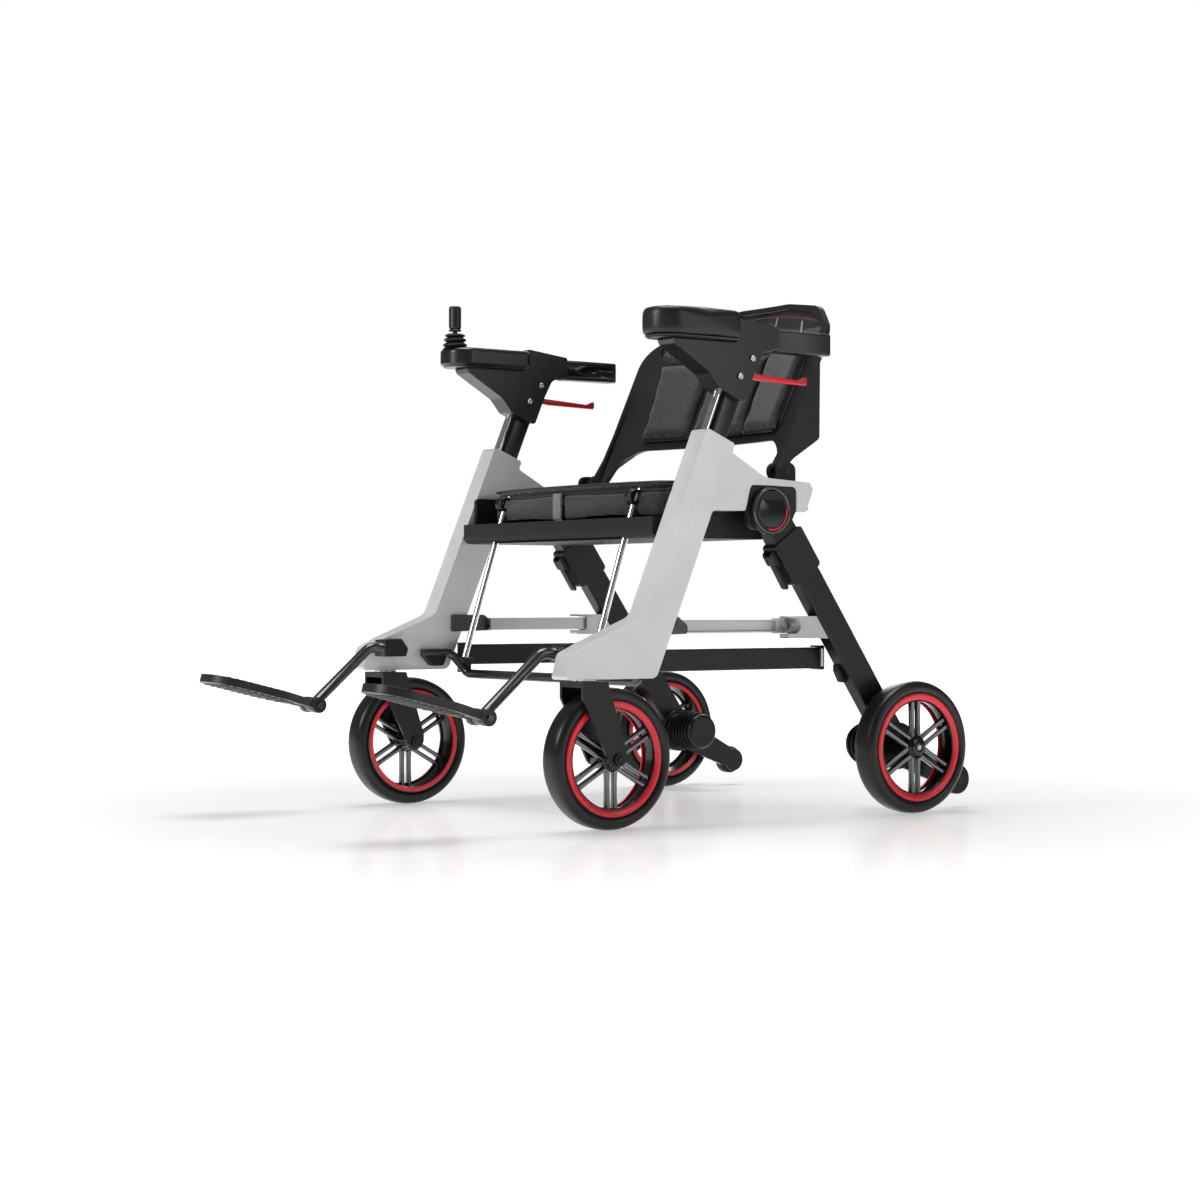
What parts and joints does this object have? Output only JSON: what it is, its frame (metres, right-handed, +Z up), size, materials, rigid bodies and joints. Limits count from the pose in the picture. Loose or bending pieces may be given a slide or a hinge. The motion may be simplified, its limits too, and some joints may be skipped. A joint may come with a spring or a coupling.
{
  "type": "folding power wheelchair",
  "caption": "Folding power wheelchair: leaning side frames on swivel casters, hinged rear legs with driven wheels, padded seat and back, sliding armrests, joystick and flip-up footplates.",
  "frame": {"origin": "on the floor, midway along and across the whole chair, from toe tips to anti-tip rollers", "axes": "+Z up, the chair faces -Y, +X is the chair's own left"},
  "size_m": [0.675, 1.0485, 0.795],
  "materials": {
    "frame_silver": "satin",
    "black_metal": "satin black coating",
    "steel": "brushed",
    "chrome": "polished",
    "brace_silver": "satin",
    "black_plastic": "matte",
    "gloss_black": "gloss",
    "tyre": "smooth rubber",
    "rim": "satin with a red outer ring",
    "red": "satin red",
    "rubber": "matte",
    "fabric": "woven",
    "mesh": "open mesh",
    "pad": "soft grained"
  },
  "bodies": {
    "main_frame": {"left_side_frame": "frame_silver", "right_side_frame": "frame_silver", "hinge_covers": "gloss_black", "front_cross_tube": "black_metal", "tube_brackets": "black_plastic", "brace_tabs": "black_metal", "support_rods": "chrome", "lower_rails": "black_metal", "rail_end_caps": "black_plastic", "footrest_hangers": "black_metal", "caster_bearings": "chrome", "seat_frame": "black_metal", "seat_cushion": "fabric", "battery_pack": "black_plastic", "motor_controller": "black_plastic"},
    "rear_legs": {"leg_torsion_tube": "steel", "upper_legs": "black_metal", "lower_legs": "black_metal", "leg_collars": "black_plastic", "leg_catches": "black_plastic", "brace_brackets": "brace_silver", "drive_motors": "black_metal", "antitip_arms": "black_metal"},
    "backrest": {"backrest_frame": "black_plastic", "backrest_pads": "fabric", "backrest_mesh": "mesh"},
    "left_brace": {"left_brace_bar": "brace_silver"},
    "left_collar_clamp": {"left_collar_lever": "black_plastic"},
    "left_rear_wheel": {"left_rear_tyre": "tyre", "left_rear_rim": "rim"},
    "left_antitip_wheel": {"left_antitip_roller": "rubber"},
    "left_caster": {"left_caster_fork": "black_metal", "left_caster_axle": "steel"},
    "left_front_wheel": {"left_front_tyre": "tyre", "left_front_rim": "rim"},
    "left_armrest": {"left_arm_posts": "black_metal", "left_arm_bracket": "black_plastic", "left_rear_bar": "black_metal", "left_arm_pad": "pad"},
    "left_release": {"left_release_lever": "red"},
    "left_footrest": {"left_footplate": "black_plastic"},
    "right_brace": {"right_brace_bar": "brace_silver"},
    "right_collar_clamp": {"right_collar_lever": "black_plastic"},
    "right_rear_wheel": {"right_rear_tyre": "tyre", "right_rear_rim": "rim"},
    "right_antitip_wheel": {"right_antitip_roller": "rubber"},
    "right_caster": {"right_caster_fork": "black_metal", "right_caster_axle": "steel"},
    "right_front_wheel": {"right_front_tyre": "tyre", "right_front_rim": "rim"},
    "right_armrest": {"right_arm_posts": "black_metal", "right_arm_bracket": "black_plastic", "right_rear_bar": "black_metal", "joystick_housing": "black_plastic", "joystick_boot": "rubber"},
    "right_release": {"right_release_lever": "red"},
    "right_footrest": {"right_footplate": "black_plastic"},
    "stick_gimbal": {"joystick_gimbal": "steel"},
    "stick": {"joystick_stick": "rubber"},
    "button": {"power_button": "gloss_black"}
  },
  "joints": [
    {"name": "leg_fold", "type": "hinge", "parent": "main_frame", "child": "rear_legs", "pos_m": [0, 0.122, 0.455], "axis": [-1, 0, 0], "range_deg": [0, 36]},
    {"name": "backrest_fold", "type": "hinge", "parent": "main_frame", "child": "backrest", "pos_m": [0, 0.182, 0.515], "axis": [1, 0, 0], "range_deg": [0, 105]},
    {"name": "left_brace_pivot", "type": "hinge", "parent": "rear_legs", "child": "left_brace", "pos_m": [0.251, 0.177, 0.284], "axis": [1, 0, 0], "range_deg": [-0.5, 36.5]},
    {"name": "left_collar_lever_swing", "type": "hinge", "parent": "rear_legs", "child": "left_collar_clamp", "pos_m": [0.2751, 0.13696, 0.38529], "axis": [-1, 0, 0], "range_deg": [0, 70]},
    {"name": "left_rear_wheel_spin", "type": "hinge", "parent": "rear_legs", "child": "left_rear_wheel", "pos_m": [0.317, 0.3785, 0.1], "axis": [1, 0, 0], "continuous": true},
    {"name": "left_antitip_spin", "type": "hinge", "parent": "rear_legs", "child": "left_antitip_wheel", "pos_m": [0.285, 0.501, 0.044], "axis": [1, 0, 0], "continuous": true},
    {"name": "left_caster_swivel", "type": "hinge", "parent": "main_frame", "child": "left_caster", "pos_m": [0.2735, -0.196, 0.228], "axis": [0, 0, 1], "continuous": true},
    {"name": "left_front_wheel_spin", "type": "hinge", "parent": "left_caster", "child": "left_front_wheel", "pos_m": [0.2735, -0.156, 0.1], "axis": [1, 0, 0], "continuous": true},
    {"name": "left_armrest_height", "type": "slide", "parent": "main_frame", "child": "left_armrest", "axis": [0, 0.3875, 0.9219], "range_m": [-0.04, 0.06]},
    {"name": "left_release_squeeze", "type": "hinge", "parent": "left_armrest", "child": "left_release", "pos_m": [0.275, 0.08401, 0.655], "axis": [1, 0, 0], "range_deg": [0, 12], "stiffness_Nm_per_rad": 2, "springref_deg": -5.73},
    {"name": "left_footplate_flip", "type": "hinge", "parent": "main_frame", "child": "left_footrest", "pos_m": [0.24, -0.344, 0.162], "axis": [-1, 0, 0], "range_deg": [0, 95]},
    {"name": "right_brace_pivot", "type": "hinge", "parent": "rear_legs", "child": "right_brace", "pos_m": [-0.251, 0.177, 0.284], "axis": [1, 0, 0], "range_deg": [-0.5, 36.5]},
    {"name": "right_collar_lever_swing", "type": "hinge", "parent": "rear_legs", "child": "right_collar_clamp", "pos_m": [-0.2751, 0.13696, 0.38529], "axis": [-1, 0, 0], "range_deg": [0, 70]},
    {"name": "right_rear_wheel_spin", "type": "hinge", "parent": "rear_legs", "child": "right_rear_wheel", "pos_m": [-0.317, 0.3785, 0.1], "axis": [1, 0, 0], "continuous": true},
    {"name": "right_antitip_spin", "type": "hinge", "parent": "rear_legs", "child": "right_antitip_wheel", "pos_m": [-0.285, 0.501, 0.044], "axis": [1, 0, 0], "continuous": true},
    {"name": "right_caster_swivel", "type": "hinge", "parent": "main_frame", "child": "right_caster", "pos_m": [-0.2735, -0.196, 0.228], "axis": [0, 0, 1], "continuous": true},
    {"name": "right_front_wheel_spin", "type": "hinge", "parent": "right_caster", "child": "right_front_wheel", "pos_m": [-0.2735, -0.156, 0.1], "axis": [1, 0, 0], "continuous": true},
    {"name": "right_armrest_height", "type": "slide", "parent": "main_frame", "child": "right_armrest", "axis": [0, 0.3875, 0.9219], "range_m": [-0.04, 0.06]},
    {"name": "right_release_squeeze", "type": "hinge", "parent": "right_armrest", "child": "right_release", "pos_m": [-0.275, 0.08401, 0.655], "axis": [1, 0, 0], "range_deg": [0, 12], "stiffness_Nm_per_rad": 2, "springref_deg": -5.73},
    {"name": "right_footplate_flip", "type": "hinge", "parent": "main_frame", "child": "right_footrest", "pos_m": [-0.24, -0.344, 0.162], "axis": [-1, 0, 0], "range_deg": [0, 95]},
    {"name": "joystick_pitch", "type": "hinge", "parent": "right_armrest", "child": "stick_gimbal", "pos_m": [-0.272, -0.06799, 0.7345], "axis": [1, 0, 0], "range_deg": [-15, 15], "stiffness_Nm_per_rad": 0.25},
    {"name": "joystick_roll", "type": "hinge", "parent": "stick_gimbal", "child": "stick", "pos_m": [-0.272, -0.06799, 0.7345], "axis": [0, 1, 0], "range_deg": [-15, 15], "stiffness_Nm_per_rad": 0.25},
    {"name": "power_button_press", "type": "slide", "parent": "right_armrest", "child": "button", "axis": [0, 0, -1], "range_m": [0, 0.0012], "stiffness_N_per_m": 600, "springref_m": -0.0005}
  ],
  "couplings": [
    {"joint": "left_brace_pivot", "follows": "leg_fold", "ratio": 1},
    {"joint": "right_brace_pivot", "follows": "leg_fold", "ratio": 1}
  ]
}
